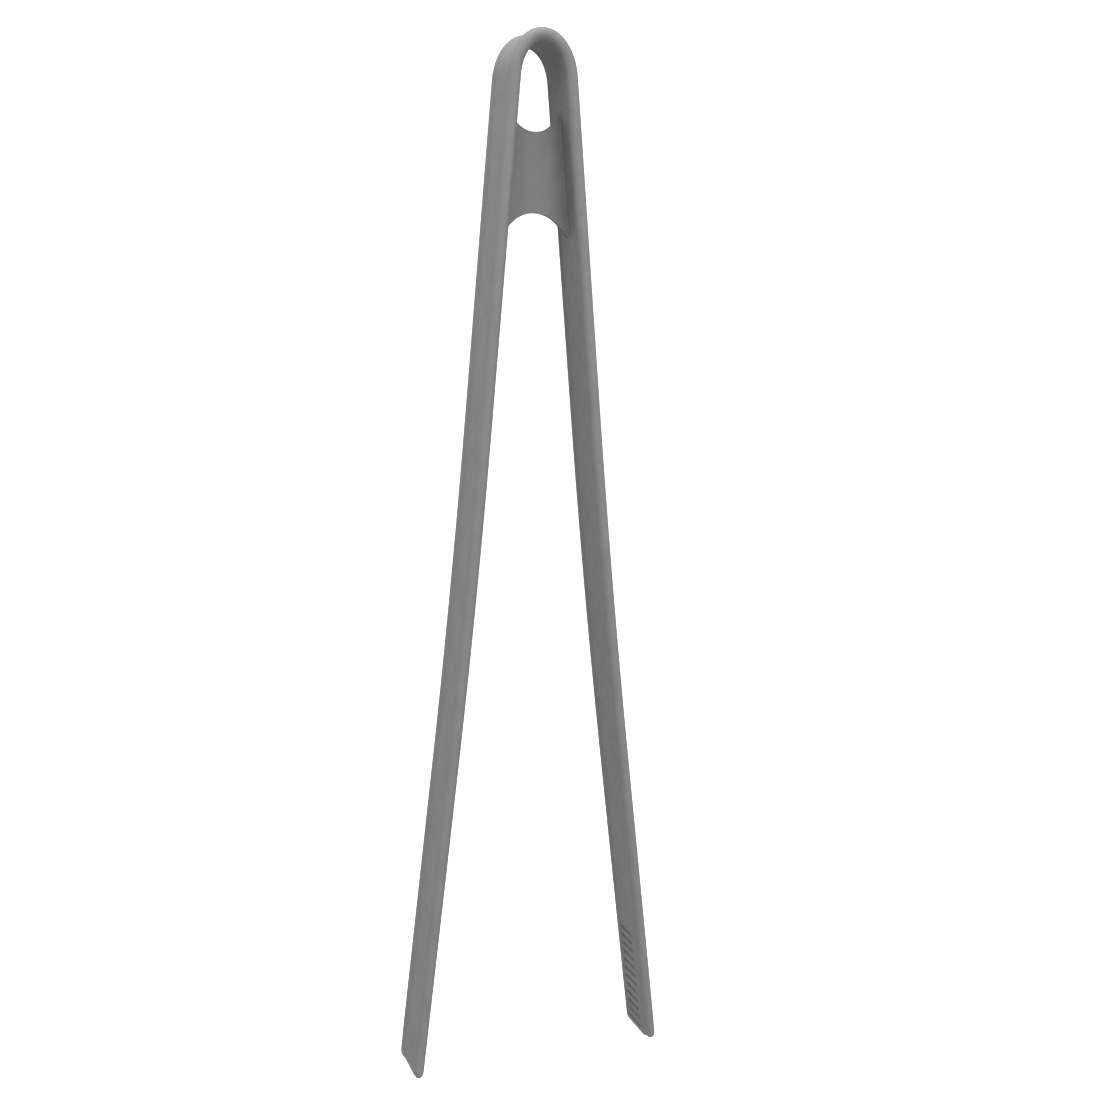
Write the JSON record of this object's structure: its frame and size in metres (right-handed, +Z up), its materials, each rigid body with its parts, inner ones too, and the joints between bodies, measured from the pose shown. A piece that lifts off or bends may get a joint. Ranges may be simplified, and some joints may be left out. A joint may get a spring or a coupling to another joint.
{
  "type": "hairpin kitchen tongs",
  "caption": "Sprung hairpin tongs: one bent spring strip in a silicone moulding, with a hanging eye in the bow and ribbed grip tips.",
  "frame": {"origin": "the point where a hook bears, under the middle of the bow, midway across the strip", "axes": "+Z up with the bow at the top and the arms hanging down, +X from the left arm to the right arm, Y across the strip's width"},
  "size_m": [0.075, 0.0174, 0.2902],
  "materials": {
    "silicone": "matte",
    "spring_steel": "satin"
  },
  "bodies": {
    "head": {"bow_cover": "silicone", "spring_bow": "spring_steel", "web": "silicone", "left_flex_spring": "spring_steel", "left_flex_cover": "silicone", "right_flex_spring": "spring_steel", "right_flex_cover": "silicone"},
    "left_arm": {"left_arm_cover": "silicone", "left_blade": "spring_steel", "left_grip_tip": "silicone"},
    "right_arm": {"right_arm_cover": "silicone", "right_blade": "spring_steel", "right_grip_tip": "silicone"}
  },
  "joints": [
    {"name": "left_arm_flex", "type": "hinge", "parent": "head", "child": "left_arm", "pos_m": [-0.01344, 0, -0.07237], "axis": [0, -1, 0], "range_deg": [-3.5, 9.1], "stiffness_Nm_per_rad": 3, "deforming": ["left_flex_spring", "left_flex_cover"]},
    {"name": "right_arm_flex", "type": "hinge", "parent": "head", "child": "right_arm", "pos_m": [0.01344, 0, -0.07237], "axis": [0, 1, 0], "range_deg": [-3.5, 9.1], "stiffness_Nm_per_rad": 3, "deforming": ["right_flex_spring", "right_flex_cover"]}
  ]
}
